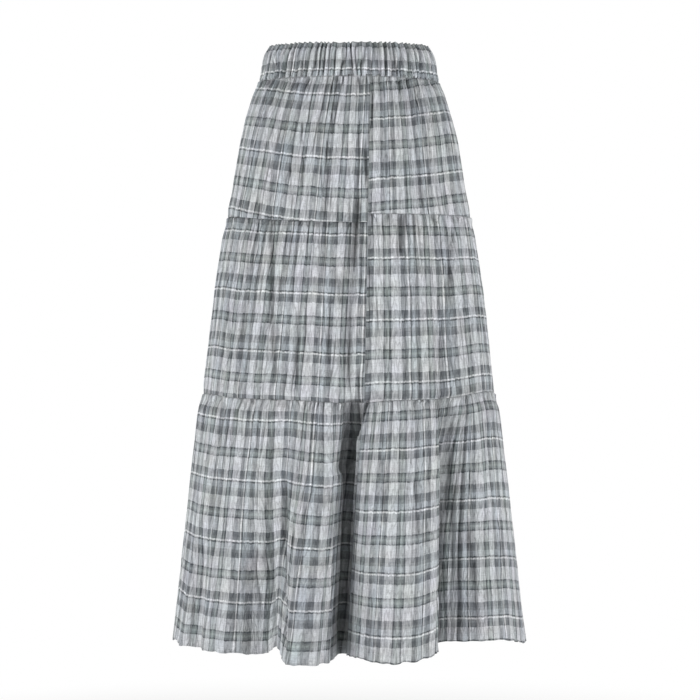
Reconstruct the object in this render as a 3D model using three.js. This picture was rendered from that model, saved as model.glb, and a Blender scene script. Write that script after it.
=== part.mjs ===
// An a-line maxi skirt, filled out as it is worn: a gathered waistband over three gathered tiers.
// Each tier is cut in a left and a right panel, with one seam near the middle of the front and one behind.
// Millimetres, +Z up, the front towards -Y. The origin is the middle of the waistband, where the wearer holds it.

import * as THREE from "three";

// Driving sizes
const CLOTH_WALL = 1.6;
const BAND_WALL = 3;
const SEAM_GAP = 0.3;
const BAND_TOP = 26;
const BAND_BOTTOM = -24.5;
const UPPER_SEAM = -220;
const LOWER_SEAM = -477;
const HEM = -833;

// The outline: half the width and half the depth of the ring that the cloth makes at each height
const SECTIONS = [
  { z: 24.5, halfWidth: 117, halfDepth: 88 },
  { z: 13, halfWidth: 120, halfDepth: 91 },
  { z: -12, halfWidth: 124, halfDepth: 94 },
  { z: -24.5, halfWidth: 128, halfDepth: 96 },
  { z: -43, halfWidth: 136, halfDepth: 102 },
  { z: -78, halfWidth: 147, halfDepth: 110 },
  { z: -113, halfWidth: 155, halfDepth: 118 },
  { z: -182, halfWidth: 166, halfDepth: 130 },
  { z: -252, halfWidth: 180, halfDepth: 143 },
  { z: -322, halfWidth: 191, halfDepth: 153 },
  { z: -391, halfWidth: 199, halfDepth: 162 },
  { z: -477, halfWidth: 209, halfDepth: 173 },
  { z: -496, halfWidth: 215, halfDepth: 179 },
  { z: -600, halfWidth: 228, halfDepth: 193 },
  { z: -739, halfWidth: 243, halfDepth: 209 },
  { z: -840, halfWidth: 255, halfDepth: 221 },
];

// How far the seam near the middle of the front lies to the right of it. The one behind lies opposite.
const FRONT_SEAM = [
  { z: -24.5, aside: 30 },
  { z: -477, aside: 22 },
  { z: -833, aside: -3.5 },
];

// The largest folds. A fold lies at the angle top where it starts and at the angle hem at the hem.
// It reaches spread degrees to each side and ends up out millimetres deep, a trough where out is negative.
// A quick fold is nearly as deep soon below its start. Its sides lean over by lean millimetres.
const FOLDS = [
  { start: -300, top: 2, hem: 2, spread: 9, hemSpread: 9, out: -9, quick: 4, lean: 0 },
  { start: -380, top: 38, hem: 38, spread: 9, hemSpread: 9, out: -7, quick: 4, lean: 0 },
  { start: -477, top: 0.6, hem: -4, spread: 9, hemSpread: 9.5, out: -60, quick: 3, lean: 0 },
  { start: -477, top: 18, hem: 13, spread: 15, hemSpread: 13, out: 20, quick: 2, lean: 3 },
  { start: -477, top: 45, hem: 39, spread: 12, hemSpread: 14, out: -54, quick: 2, lean: 4 },
  { start: -590, top: -13, hem: -14, spread: 8, hemSpread: 9, out: 24, quick: 1, lean: 3 },
  { start: -590, top: -27, hem: -31, spread: 12, hemSpread: 15, out: -36, quick: 1, lean: 3 },
  { start: -650, top: -60, hem: -61, spread: 9, hemSpread: 10, out: -18, quick: 1, lean: 2 },
  { start: -300, top: 172, hem: 172, spread: 9, hemSpread: 9, out: -8, quick: 4, lean: 0 },
  { start: -477, top: 174, hem: 171, spread: 9, hemSpread: 9.5, out: -56, quick: 3, lean: 0 },
  { start: -477, top: 196, hem: 194, spread: 14, hemSpread: 13, out: 22, quick: 2, lean: 3 },
  { start: -520, top: 155, hem: 153, spread: 10, hemSpread: 11, out: 18, quick: 1.5, lean: 3 },
  { start: -540, top: 132, hem: 134, spread: 12, hemSpread: 13, out: -40, quick: 1.5, lean: 4 },
  { start: -560, top: 218, hem: 221, spread: 12, hemSpread: 14, out: -42, quick: 1.5, lean: 4 },
  { start: -640, top: 242, hem: 244, spread: 10, hemSpread: 11, out: -20, quick: 1, lean: 2 },
  { start: -620, top: 111, hem: 110, spread: 9, hemSpread: 10, out: -16, quick: 1, lean: 2 },
];

// Where the hem is drawn up, or hangs lower where lift is negative, in degrees from straight ahead
const HEM_LIFTS = [
  { at: -15, spread: 12, lift: -7 },
  { at: 17, spread: 17, lift: -5 },
  { at: 52, spread: 36, lift: 15 },
  { at: 215, spread: 36, lift: 9 },
];

// Gathers sewn in at each top edge: how many a panel has, how high they stand there and at the bottom edge,
// how far down they fade, and how many points round each one takes
const BAND_GATHERS = { count: 56, points: 3, high: 1.4, low: 1.4, fade: 60 };
const BAND_ROWS = [0, 0.12, 0.5, 0.88, 1];
const BAND_INNER_ROWS = [0, 0.5, 1];
const TIERS = [
  {
    name: "tier_upper",
    top: { left: [BAND_BOTTOM, 0], right: [BAND_BOTTOM, 0] },
    bottom: { left: [UPPER_SEAM, -13], right: [UPPER_SEAM, -1] },
    gathers: { count: 20, points: 4, high: 1.7, low: 0.7, fade: 70 },
    rows: [0, 0.06, 0.17, 0.35, 0.64, 1],
    innerRows: [0, 0.17, 0.64, 1],
  },
  {
    name: "tier_middle",
    top: { left: [UPPER_SEAM, -13], right: [UPPER_SEAM, -1] },
    bottom: { left: [LOWER_SEAM, -5], right: [LOWER_SEAM, -5] },
    gathers: { count: 20, points: 4, high: 1.8, low: 0.7, fade: 80 },
    rows: [0, 0.05, 0.15, 0.32, 0.64, 1],
    innerRows: [0, 0.15, 0.64, 1],
  },
  {
    name: "tier_lower",
    top: { left: [LOWER_SEAM, -5], right: [LOWER_SEAM, -5] },
    bottom: { left: [HEM, 0], right: [HEM, 0] },
    gathers: { count: 22, points: 4, high: 1.9, low: 0.7, fade: 90 },
    rows: [0, 0.04, 0.1, 0.19, 0.31, 0.46, 0.63, 0.81, 1],
    innerRows: [0, 0.04, 0.1, 0.19, 0.31, 0.46, 0.63, 0.81, 1],
  },
];

// A gather stands this share of its height at the least, plus up to the same spare share more
const GATHER_LEAST = 0.5;
const GATHER_SPARE = 0.5;
const GATHER_STEP = 2.4;

const FULL_TURN = 360;
const HALF_TURN = 180;
const ARC_STEPS = 900;
const NUDGE_DEGREES = 0.05;
const SEAM_ROUNDS = 4;

// A value from a table, between the two rows that a height lies between
function tableValue(table, z, column) {
  let i = 1;
  while (i < table.length - 1 && z < table[i].z) i += 1;
  const above = table[i - 1];
  const below = table[i];
  const share = THREE.MathUtils.clamp((z - above.z) / (below.z - above.z), 0, 1);
  return THREE.MathUtils.lerp(above[column], below[column], share);
}

// The signed angle from one direction to another, between -180 and 180 degrees
function turnBetween(from, to) {
  return THREE.MathUtils.euclideanModulo(to - from + HALF_TURN, FULL_TURN) - HALF_TURN;
}

// A smooth hump: 1 in its middle and 0 at a distance of 1 and beyond
function hump(distance) {
  return Math.abs(distance) < 1 ? 0.5 + 0.5 * Math.cos(Math.PI * distance) : 0;
}

// How far the folds push the cloth out, and along the ring, at an angle and a height
function foldShift(degrees, z) {
  const shift = { out: 0, along: 0 };
  for (const fold of FOLDS) {
    if (z >= fold.start) continue;
    const fall = (fold.start - z) / (fold.start - HEM);
    const grown = (1 - Math.exp(-fold.quick * fall)) / (1 - Math.exp(-fold.quick));
    const at = THREE.MathUtils.lerp(fold.top, fold.hem, fall);
    const spread = THREE.MathUtils.lerp(fold.spread, fold.hemSpread, fall);
    const distance = turnBetween(at, degrees) / spread;
    shift.out += fold.out * grown * hump(distance);
    const leaning = Math.abs(distance) < 1 ? Math.sin(Math.PI * distance) * Math.sign(fold.out) : 0;
    shift.along += fold.lean * grown * leaning;
  }
  return shift;
}

// The point of the plain inside at an angle and a height
function clothPoint(degrees, z) {
  const angle = THREE.MathUtils.degToRad(degrees);
  const halfWidth = tableValue(SECTIONS, z, "halfWidth");
  const halfDepth = tableValue(SECTIONS, z, "halfDepth");
  const outward = new THREE.Vector3(Math.sin(angle) / halfWidth, -Math.cos(angle) / halfDepth, 0).normalize();
  const forward = new THREE.Vector3(-outward.y, outward.x, 0);
  const shift = foldShift(degrees, z);
  return new THREE.Vector3(halfWidth * Math.sin(angle), -halfDepth * Math.cos(angle), z)
    .addScaledVector(outward, shift.out)
    .addScaledVector(forward, shift.along);
}

// The level direction that faces out of the cloth there
function clothNormal(degrees, z) {
  const ahead = clothPoint(degrees + NUDGE_DEGREES, z).sub(clothPoint(degrees - NUDGE_DEGREES, z));
  return new THREE.Vector3(ahead.y, -ahead.x, 0).normalize();
}

// The height of an edge at an angle: level, but for a sag towards the middle of the front
function edgeHeight(edge, degrees) {
  const [level, sag] = edge;
  const ahead = Math.max(0, Math.cos(THREE.MathUtils.degToRad(degrees)));
  const lifts = level === HEM ? HEM_LIFTS : [];
  const lift = lifts.reduce((sum, row) => sum + row.lift * hump(turnBetween(row.at, degrees) / row.spread), 0);
  return level + sag * ahead * ahead + lift;
}

// The angle where a row meets a seam, whose own angle changes with the row's height there
function seamAngle(seam, heightAt) {
  let degrees = seam(HEM);
  for (let i = 0; i < SEAM_ROUNDS; i += 1) degrees = seam(heightAt(degrees));
  return degrees;
}

// Angles that part the cloth of one row evenly along its own length, between two seams
function evenAngles(heightAt, from, to, count, gap) {
  const degrees = [];
  const lengths = [0];
  let last = null;
  for (let i = 0; i <= ARC_STEPS; i += 1) {
    degrees.push(from + ((to - from) * i) / ARC_STEPS);
    const point = clothPoint(degrees[i], heightAt(degrees[i]));
    if (last) lengths.push(lengths[i - 1] + point.distanceTo(last));
    last = point;
  }
  const angles = [];
  let step = 1;
  for (let i = 0; i <= count; i += 1) {
    const length = THREE.MathUtils.lerp(gap / 2, lengths[ARC_STEPS] - gap / 2, i / count);
    while (step < ARC_STEPS && lengths[step] < length) step += 1;
    const share = (length - lengths[step - 1]) / (lengths[step] - lengths[step - 1]);
    angles.push(THREE.MathUtils.lerp(degrees[step - 1], degrees[step], share));
  }
  return angles;
}

// How far a gather stands out at one of the points round, a distance below the edge it is sewn into
function gatherHeight(gathers, index, below) {
  const wave = 0.5 + 0.5 * Math.sin(Math.floor(index / gathers.points) * GATHER_STEP);
  const uneven = GATHER_LEAST + GATHER_SPARE * wave;
  const high = gathers.low + (gathers.high - gathers.low) * Math.exp(-below / gathers.fade);
  return high * uneven * (1 - Math.cos((2 * Math.PI * index) / gathers.points));
}

// One skin of a wall: rows of points from the top edge to the bottom edge
function skin(piece, shares, outside) {
  return shares.map((share) => {
    const heightAt = (degrees) => {
      const high = edgeHeight(piece.top, degrees) - SEAM_GAP / 2;
      const low = edgeHeight(piece.bottom, degrees) + SEAM_GAP / 2;
      return THREE.MathUtils.lerp(high, low, share);
    };
    const from = seamAngle(piece.from, heightAt);
    const to = seamAngle(piece.to, heightAt);
    const angles = evenAngles(heightAt, from, to, piece.steps, piece.endGap);
    return angles.map((degrees, i) => {
      const z = heightAt(degrees);
      const point = clothPoint(degrees, z);
      if (!outside) return point;
      const below = edgeHeight(piece.top, degrees) - z;
      const out = piece.wall + gatherHeight(piece.gathers, i, below);
      return point.addScaledVector(clothNormal(degrees, z), out);
    });
  });
}

// A closed solid between an outer and an inner skin. A ring closes on itself, and a panel has two end faces.
function wallGeometry(outer, inner, isRing) {
  const columns = outer[0].length - (isRing ? 1 : 0);
  const spans = isRing ? columns : columns - 1;
  const points = [];
  const indices = [];
  for (const row of [...outer, ...inner]) points.push(...row.slice(0, columns));
  const at = (row, column) => row * columns + (column % columns);
  const quad = (a, b, c, d) => indices.push(a, b, c, a, c, d);
  const firstInner = outer.length;
  const lastOuter = outer.length - 1;
  const lastInner = outer.length + inner.length - 1;
  for (let c = 0; c < spans; c += 1) {
    for (let r = 0; r < lastOuter; r += 1) quad(at(r, c), at(r + 1, c), at(r + 1, c + 1), at(r, c + 1));
    for (let r = firstInner; r < lastInner; r += 1) quad(at(r, c), at(r, c + 1), at(r + 1, c + 1), at(r + 1, c));
    quad(at(firstInner, c), at(0, c), at(0, c + 1), at(firstInner, c + 1));
    quad(at(lastOuter, c), at(lastInner, c), at(lastInner, c + 1), at(lastOuter, c + 1));
  }
  if (!isRing) for (const end of [0, columns - 1]) endFace(indices, at, end, outer.length, inner.length, end === 0);
  const flat = new Float32Array(points.flatMap((point) => point.toArray()));
  const geometry = new THREE.BufferGeometry();
  geometry.setAttribute("position", new THREE.BufferAttribute(flat, 3));
  geometry.setIndex(indices);
  geometry.computeVertexNormals();
  return geometry;
}

// The end of a panel: a strip between its outer and its inner edge, which may have different rows
function endFace(indices, at, column, outerCount, innerCount, isFirst) {
  let o = 0;
  let i = 0;
  const outerAt = (row) => at(row, column);
  const innerAt = (row) => at(outerCount + row, column);
  const push = (a, b, c) => (isFirst ? indices.push(a, b, c) : indices.push(a, c, b));
  while (o < outerCount - 1 || i < innerCount - 1) {
    const outerNext = o < outerCount - 1 && (o + 1) / (outerCount - 1) <= (i + 1) / (innerCount - 1);
    if (outerNext || i === innerCount - 1) {
      push(outerAt(o), innerAt(i), outerAt(o + 1));
      o += 1;
    } else {
      push(outerAt(o), innerAt(i), innerAt(i + 1));
      i += 1;
    }
  }
}

// Crinkled plaid cotton: matt, grey on off-white
function plaidCotton() {
  return new THREE.MeshStandardMaterial({ color: 0xa9adae, roughness: 0.92, metalness: 0 });
}

function clothMesh(name, outer, inner, isRing) {
  const mesh = new THREE.Mesh(wallGeometry(outer, inner, isRing), plaidCotton());
  mesh.name = name;
  return mesh;
}

// The angle of a seam at a height
function frontSeam(z) {
  return THREE.MathUtils.radToDeg(Math.asin(tableValue(FRONT_SEAM, z, "aside") / tableValue(SECTIONS, z, "halfWidth")));
}

const backSeam = (z) => frontSeam(z) + HALF_TURN;

// The waistband: one loop of cloth folded over its elastic, so its wall is thicker
function waistband() {
  const piece = {
    top: [BAND_TOP, -1.5],
    bottom: [BAND_BOTTOM, 0],
    from: backSeam,
    to: (z) => backSeam(z) + FULL_TURN,
    steps: BAND_GATHERS.count * BAND_GATHERS.points,
    endGap: 0,
    wall: BAND_WALL,
    gathers: BAND_GATHERS,
  };
  return clothMesh("waistband", skin(piece, BAND_ROWS, true), skin(piece, BAND_INNER_ROWS, false), true);
}

// One panel of a tier: the right one runs from the front seam to the one behind, the left one on from there
function panel(tier, side) {
  const piece = {
    top: tier.top[side],
    bottom: tier.bottom[side],
    from: side === "right" ? frontSeam : backSeam,
    to: side === "right" ? backSeam : (z) => frontSeam(z) + FULL_TURN,
    steps: tier.gathers.count * tier.gathers.points,
    endGap: SEAM_GAP,
    wall: CLOTH_WALL,
    gathers: tier.gathers,
  };
  const outer = skin(piece, tier.rows, true);
  const inner = skin(piece, tier.innerRows, false);
  return clothMesh(tier.name + "_" + side, outer, inner, false);
}

const skirt = new THREE.Group();
skirt.add(waistband());
for (const tier of TIERS) for (const side of ["left", "right"]) skirt.add(panel(tier, side));

export default skirt;
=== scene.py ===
"""An a-line maxi skirt in crinkled plaid cotton, filled out as worn.

A gathered waistband over three gathered tiers. Metres, +Z up, the front towards -Y.
The origin is the middle of the waistband.
"""
import math

import bpy
import numpy as np
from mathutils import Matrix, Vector


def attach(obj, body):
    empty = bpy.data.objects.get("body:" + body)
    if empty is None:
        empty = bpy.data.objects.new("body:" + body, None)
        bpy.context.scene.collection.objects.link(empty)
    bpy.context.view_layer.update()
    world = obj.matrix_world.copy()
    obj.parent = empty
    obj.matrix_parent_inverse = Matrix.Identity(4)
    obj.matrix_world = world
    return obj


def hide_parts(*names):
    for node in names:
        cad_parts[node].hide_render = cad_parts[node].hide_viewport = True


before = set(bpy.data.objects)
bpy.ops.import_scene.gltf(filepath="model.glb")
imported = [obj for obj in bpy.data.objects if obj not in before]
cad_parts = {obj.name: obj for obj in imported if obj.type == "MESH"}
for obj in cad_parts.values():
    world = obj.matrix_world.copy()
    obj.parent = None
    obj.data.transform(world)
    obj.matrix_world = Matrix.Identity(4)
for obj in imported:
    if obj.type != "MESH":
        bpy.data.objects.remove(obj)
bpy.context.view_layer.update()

MM = 0.001

# Heights of the seams and edges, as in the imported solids
BAND_TOP = 26 * MM
BAND_BOTTOM = -24.5 * MM
UPPER_SEAM = -220 * MM
LOWER_SEAM = -477 * MM
HEM = -833 * MM

# The outline: height, half the width and half the depth of the ring that the cloth makes there
SECTIONS = np.array([
    (24.5, 117, 88), (13, 120, 91), (-12, 124, 94), (-24.5, 128, 96), (-43, 136, 102),
    (-78, 147, 110), (-113, 155, 118), (-182, 166, 130), (-252, 180, 143), (-322, 191, 153),
    (-391, 199, 162), (-477, 209, 173), (-496, 215, 179), (-600, 228, 193), (-739, 243, 209),
    (-840, 255, 221),
]) * MM

# How far the seam near the middle of the front lies to the right of it: height, distance
FRONT_SEAM = np.array([(-24.5, 30), (-477, 22), (-833, -3.5)]) * MM

# The largest folds: where each starts, its angle there and at the hem, how many degrees it reaches
# to each side there and at the hem, its depth at the hem (a trough where it is negative),
# how soon it deepens, and how far its sides lean over
FOLDS = [
    dict(start=-300, top=2, hem=2, spread=9, hem_spread=9, out=-9, quick=4, lean=0),
    dict(start=-380, top=38, hem=38, spread=9, hem_spread=9, out=-7, quick=4, lean=0),
    dict(start=-477, top=0.6, hem=-4, spread=9, hem_spread=9.5, out=-60, quick=3, lean=0),
    dict(start=-477, top=18, hem=13, spread=15, hem_spread=13, out=20, quick=2, lean=3),
    dict(start=-477, top=44, hem=38, spread=12, hem_spread=14, out=-54, quick=2, lean=4),
    dict(start=-590, top=-13, hem=-14, spread=8, hem_spread=9, out=24, quick=1, lean=3),
    dict(start=-590, top=-27, hem=-31, spread=12, hem_spread=15, out=-36, quick=1, lean=3),
    dict(start=-650, top=-60, hem=-61, spread=9, hem_spread=10, out=-18, quick=1, lean=2),
    dict(start=-300, top=172, hem=172, spread=9, hem_spread=9, out=-8, quick=4, lean=0),
    dict(start=-477, top=174, hem=171, spread=9, hem_spread=9.5, out=-56, quick=3, lean=0),
    dict(start=-477, top=196, hem=194, spread=14, hem_spread=13, out=22, quick=2, lean=3),
    dict(start=-520, top=155, hem=153, spread=10, hem_spread=11, out=18, quick=1.5, lean=3),
    dict(start=-540, top=132, hem=134, spread=12, hem_spread=13, out=-40, quick=1.5, lean=4),
    dict(start=-560, top=218, hem=221, spread=12, hem_spread=14, out=-42, quick=1.5, lean=4),
    dict(start=-640, top=242, hem=244, spread=10, hem_spread=11, out=-20, quick=1, lean=2),
    dict(start=-620, top=111, hem=110, spread=9, hem_spread=10, out=-16, quick=1, lean=2),
]

# Where the lower seam and the hem are drawn up, or hang lower where the lift is negative: the angle,
# how many degrees it reaches to each side and the lift in millimetres
LIFTS = {
    LOWER_SEAM: [(68, 34, 7), (-75, 30, 3.5), (0, 22, -3), (215, 40, 4)],
    HEM: [
        (-15, 12, -7), (17, 17, -5), (52, 36, 15), (215, 36, 9), (-80, 14, 8), (-23.5, 7, 13),
        (-8, 6, -5), (176, 8, 7), (148, 7, 9), (251, 9, 6), (118, 10, 5),
    ],
}

# The larger creases of the front, and ones like them behind: how far across and how high
# each starts and ends, its depth and its width, all in millimetres
FRONT_CREASES = [
    (125, -484, 126, -640, 6, 3), (126, -640, 118, -830, 4, 3), (71, -224, 71, -279, 3, 2.5),
    (22, -117, 22, -162, 3, 2.2), (-10, -303, -6, -342, 2.5, 2.5), (-95, -625, -88, -700, 2.5, 3),
    (34, -49, 32, -92, 5, 1.7), (32, -92, 28, -107, 4, 1.7), (-24, -28, -24, -60, 3, 1.5),
    (-24, -80, -24, -104, 3, 1.5), (14, -26, 14, -42, 2.5, 1.5), (72, -27, 72, -47, 2.5, 1.5),
    (95, -48, 95, -75, 3, 1.5), (53, -131, 53, -165, 2.5, 1.6), (-38, -157, -38, -191, 2.5, 1.6),
    (-82, -156, -81, -201, 2.5, 1.8), (135, -29, 136, -68, 2.5, 1.8), (94, -267, 98, -301, 3, 1.8),
    (125, -395, 127, -476, 3, 2.5), (-221, -702, -219, -819, 3, 3), (-86, -591, -83, -811, 3.5, 2.5),
    (-66, -90, -65, -156, 2.2, 2.2), (-31, -117, -31, -162, 2.5, 2), (-167, -249, -172, -341, 2, 2.5),
    (-145, -341, -152, -443, 2.2, 2.5), (-68, -384, -72, -470, 2.4, 2.4),
    (-185, -524, -192, -650, 2.4, 3), (-157, -703, -160, -813, 2.4, 3), (-43, -618, -40, -754, 2, 2.5),
    (67, -700, 72, -819, 2.2, 2.6), (95, -578, 103, -701, 2.4, 2.6), (191, -511, 202, -623, 2.4, 2.6),
    (209, -680, 219, -800, 2.6, 3), (174, -704, 179, -803, 2.6, 2.6), (170, -93, 175, -187, 2, 2),
    (157, -284, 165, -398, 2.4, 2.4),
]
BACK_CREASES = [
    (-14, -206, -8, -280, 4.5, 4.5), (-8, -280, 4, -472, 4.5, 5.5), (96, -222, 100, -350, 3, 3.2),
    (-64, -226, -66, -290, 3.5, 2.5), (-128, -240, -134, -410, 3, 3), (-132, -486, -142, -640, 3.5, 4),
    (60, -500, 66, -610, 3, 3.5), (104, -540, 112, -680, 3, 3.2), (150, -500, 160, -620, 2.5, 3),
    (-60, -560, -62, -700, 2.6, 3), (-92, -600, -98, -810, 3.2, 2.8), (30, -620, 28, -790, 2.6, 3),
    (190, -640, 204, -800, 2.6, 3), (-190, -600, -206, -780, 2.6, 3), (20, -30, 18, -74, 3, 1.6),
    (-40, -28, -42, -58, 2.8, 1.5), (70, -30, 74, -66, 2.8, 1.6), (-86, -36, -92, -88, 2.6, 1.6),
    (44, -110, 46, -168, 2.4, 2), (-20, -130, -22, -186, 2.4, 2), (-110, -120, -116, -190, 2.2, 2),
    (60, -300, 64, -396, 2.4, 2.4), (-40, -330, -44, -460, 2.4, 2.6), (150, -300, 160, -420, 2.2, 2.6),
]

# The long soft folds of the front, drawn the same way; those with a negative depth stand out
FRONT_SOFT_FOLDS = [
    (-108, -222, -108, -356, 5, 5), (-108, -356, -103, -453, 4, 4.5), (-106, -523, -111, -633, 5, 5),
    (-111, -633, -100, -823, 4, 5), (-126, -200, -129, -278, 3, 4), (-72, -356, -74, -453, 3, 4),
    (-30, -384, -26, -453, 3, 4), (14, -203, 10, -279, 4, 6), (4, -484, 1, -600, 4.5, 14),
    (-3, -585, -13, -826, 4, 8), (10, -279, 1, -356, 4, 6),
    (1, -356, -1, -460, 5, 6), (29, -195, 26, -300, 2.5, 3.5), (75, -230, 73, -272, 3, 4),
    (147, -234, 138, -355, 4, 5), (138, -355, 143, -447, 4, 5), (46, -556, 47, -632, 4, 4.5),
    (165, -662, 171, -732, 3.5, 4.5), (22, -131, 26, -174, 3, 4), (-169, -355, -170, -419, 3, 4),
    (-16, -307, -12, -349, 3, 4), (91, -591, 94, -666, 3, 4), (-26, -699, -27, -767, 2.5, 3.5),
    (-144, -661, -145, -744, 3, 4), (141, -482, 139, -592, 4, 6), (139, -592, 153, -799, 2, 8),
    (-51, -166, -50, -244, -2.5, 4), (-50, -244, -46, -467, -4, 5), (5, -38, 3, -209, -3.5, 4.5),
    (-113, -56, -110, -129, -3, 4), (-16, -138, -17, -202, -2.5, 4), (40, -88, 39, -174, -2.5, 4),
    (-92, -243, -89, -328, -3, 4), (-132, -370, -133, -454, -2.5, 4), (42, -384, 39, -467, -2.5, 4),
    (72, -87, 86, -173, -2, 4), (-66, -563, -70, -795, -3.5, 5), (-26, -543, -29, -794, -3, 4.5),
    (-47, -536, -45, -631, -2, 4), (32, -563, 30, -726, -3.5, 5), (60, -536, 62, -618, -2.5, 4),
    (-152, -537, -161, -731, -3, 5), (70, -700, 77, -815, -2.5, 5), (109, -509, 123, -592, -2.5, 4),
    (179, -524, 192, -664, -3, 5), (-120, -557, -123, -633, -2.5, 4), (173, -355, 182, -419, -2, 4),
    (-188, -664, -190, -802, -2.5, 5),
]

# Folds that lie over the cloth beside them: the same, and the side that they hide, -1 for the left
FRONT_LAPS = [
    (27, -484, -3, -580, 10, 30, -1), (11, -535, 4, -700, 7, 15, -1), (4, -700, -5, -832, 6, 14, -1),
    (126, -484, 127, -640, 7, 12, 1), (127, -640, 120, -832, 4, 7, 1), (-87, -600, -85, -836, 5, 7, -1),
    (14, -200, 9, -290, 4, 10, -1),
]

# How thick the cloth is: one layer in the tiers and two in the band
CLOTH_THICK = 0.7 * MM
BAND_THICK = 1.4 * MM

# How far the outside of the cloth stands off the line that the solids' inside follows: in the tiers,
# in the band and where a tier is tucked in behind the piece above
CLOTH_STAND = 1.6 * MM
BAND_STAND = 3 * MM
TUCK_STAND = 0.2 * MM

FULL_TURN = 360
HALF_TURN = 180

# How finely a row is measured, how often the end of a row is brought nearer to the seam,
# and how many millimetres under a seam the close rows of points lie
ARC_STEPS = 1600
END_TRIES = 4
CLOSE_ROWS = [0, 1.5, 3, 4.5, 6.5, 9, 12, 15.5, 20]


def lattice(seed, i, j):
    """A repeatable number from -1 to 1 for each pair of whole numbers."""
    wave = np.sin(i * 127.1 + j * 311.7 + seed * 74.7) * 43758.5453
    return 2 * (wave - np.floor(wave)) - 1


def noise(seed, x, y):
    """Smooth uneven waves from about -1 to 1, one unit apart in x and in y."""
    i, j = np.floor(x), np.floor(y)
    fx, fy = x - i, y - j
    sx, sy = fx * fx * (3 - 2 * fx), fy * fy * (3 - 2 * fy)
    low = lattice(seed, i, j) * (1 - sx) + lattice(seed, i + 1, j) * sx
    high = lattice(seed, i, j + 1) * (1 - sx) + lattice(seed, i + 1, j + 1) * sx
    return low * (1 - sy) + high * sy


def hump(distance):
    """A smooth hump: 1 in its middle and 0 at a distance of 1 and beyond."""
    return np.where(np.abs(distance) < 1, 0.5 + 0.5 * np.cos(np.pi * np.clip(distance, -1, 1)), 0)


def turn_between(start, end):
    """The signed angle from one direction to another, between -180 and 180 degrees."""
    return np.mod(end - start + HALF_TURN, FULL_TURN) - HALF_TURN


def section(z, column):
    """Half the width (column 1) or half the depth (column 2) of the ring at a height."""
    return np.interp(-z, -SECTIONS[:, 0], SECTIONS[:, column])


def front_seam(z):
    """The angle of the front seam at a height."""
    aside = np.interp(-z, -FRONT_SEAM[:, 0], FRONT_SEAM[:, 1])
    return np.degrees(np.arcsin(aside / section(z, 1)))


def cloth_point(degrees, z):
    """The point of the solids' inside at an angle and a height, with the largest folds."""
    angle = np.radians(degrees)
    half_width, half_depth = section(z, 1), section(z, 2)
    outward = np.stack([np.sin(angle) / half_width, -np.cos(angle) / half_depth], -1)
    outward /= np.linalg.norm(outward, axis=-1, keepdims=True)
    out, along = np.zeros_like(z), np.zeros_like(z)
    for fold in FOLDS:
        start = fold["start"] * MM
        fall = np.clip((start - z) / (start - HEM), 0, None)
        grown = (1 - np.exp(-fold["quick"] * fall)) / (1 - math.exp(-fold["quick"]))
        at = fold["top"] + (fold["hem"] - fold["top"]) * fall
        spread = fold["spread"] + (fold["hem_spread"] - fold["spread"]) * fall
        distance = turn_between(at, degrees) / spread
        out += fold["out"] * MM * grown * hump(distance)
        leaning = np.where(np.abs(distance) < 1, np.sin(np.pi * distance), 0) * np.sign(fold["out"])
        along += fold["lean"] * MM * grown * leaning
    x = half_width * np.sin(angle) + outward[..., 0] * out - outward[..., 1] * along
    y = -half_depth * np.cos(angle) + outward[..., 1] * out + outward[..., 0] * along
    return np.stack([x, y, z], -1)


def edge_height(level, sag, degrees):
    """The height of an edge at an angle: level, but for its lifts and a sag in the middle of the front."""
    ahead = np.clip(np.cos(np.radians(degrees)), 0, None)
    height = level + sag * ahead**2
    for at, reach, lift in LIFTS.get(level, []):
        height = height + lift * MM * hump(turn_between(at, degrees) / reach)
    return height


def row_shares(piece):
    """How far down a piece each row of points lies, from 0 to 1: closer together just under the seam.

    The first row of a tier lies above its seam, where the cloth is tucked in behind the piece above.
    """
    if not piece["tuck"]:
        return np.linspace(0, 1, piece["rows"] + 1)
    close = np.array(CLOSE_ROWS) * MM / piece["height"]
    rest = np.linspace(close[-1], 1, piece["rows"] - len(close) + 2)
    return np.concatenate([[-piece["tuck"] / piece["height"]], close, rest[1:]])


def cloth_grid(piece):
    """Rows of points down a piece, with their angles, heights, shares and lengths.

    Each row is parted evenly along its own length, but as far as the piece's hang says, as its hem is.
    """
    shares = row_shares(piece)
    angles = np.zeros((len(shares), piece["columns"] + 1))
    lengths = np.zeros(len(shares))
    wanted = np.linspace(0, 1, piece["columns"] + 1)

    def height_at(degrees, share):
        """The height at an angle, that share of the way from the top edge down to the bottom edge."""
        high = edge_height(*piece["top"], degrees)
        low = edge_height(*piece["bottom"], degrees)
        return high + (low - high) * share

    def measured_row(share):
        """The angles of fine steps along a row, and how far along the row each lies."""
        ends = []
        for seam_turn in piece["ends"]:
            degrees = front_seam(HEM) + seam_turn
            for _ in range(END_TRIES):
                degrees = front_seam(height_at(degrees, share)) + seam_turn
            ends.append(float(degrees))
        fine = np.linspace(ends[0], ends[1], ARC_STEPS + 1)
        points = cloth_point(fine, height_at(fine, share))
        return fine, np.concatenate([[0], np.cumsum(np.linalg.norm(np.diff(points, axis=0), axis=1))])

    hem_run = measured_row(1)[1]
    for r, share in enumerate(shares):
        fine, run = measured_row(share)
        lengths[r] = run[-1]
        parted = run / run[-1]
        parted += piece["hang"] * (hem_run / hem_run[-1] - parted)
        angles[r] = np.interp(wanted, parted, fine)
    heights = height_at(angles, shares[:, None])
    return cloth_point(angles, heights), angles, heights, shares, lengths


def grid_normals(points, ring):
    """Unit normals that face out of a grid of points."""
    down = np.gradient(points, axis=0)
    ahead = np.gradient(points, axis=1)
    if ring:
        seam = points[:, 1] - points[:, -2]
        ahead[:, 0], ahead[:, -1] = seam / 2, seam / 2
    normal = np.cross(ahead, -down)
    return normal / np.linalg.norm(normal, axis=-1, keepdims=True)


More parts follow.
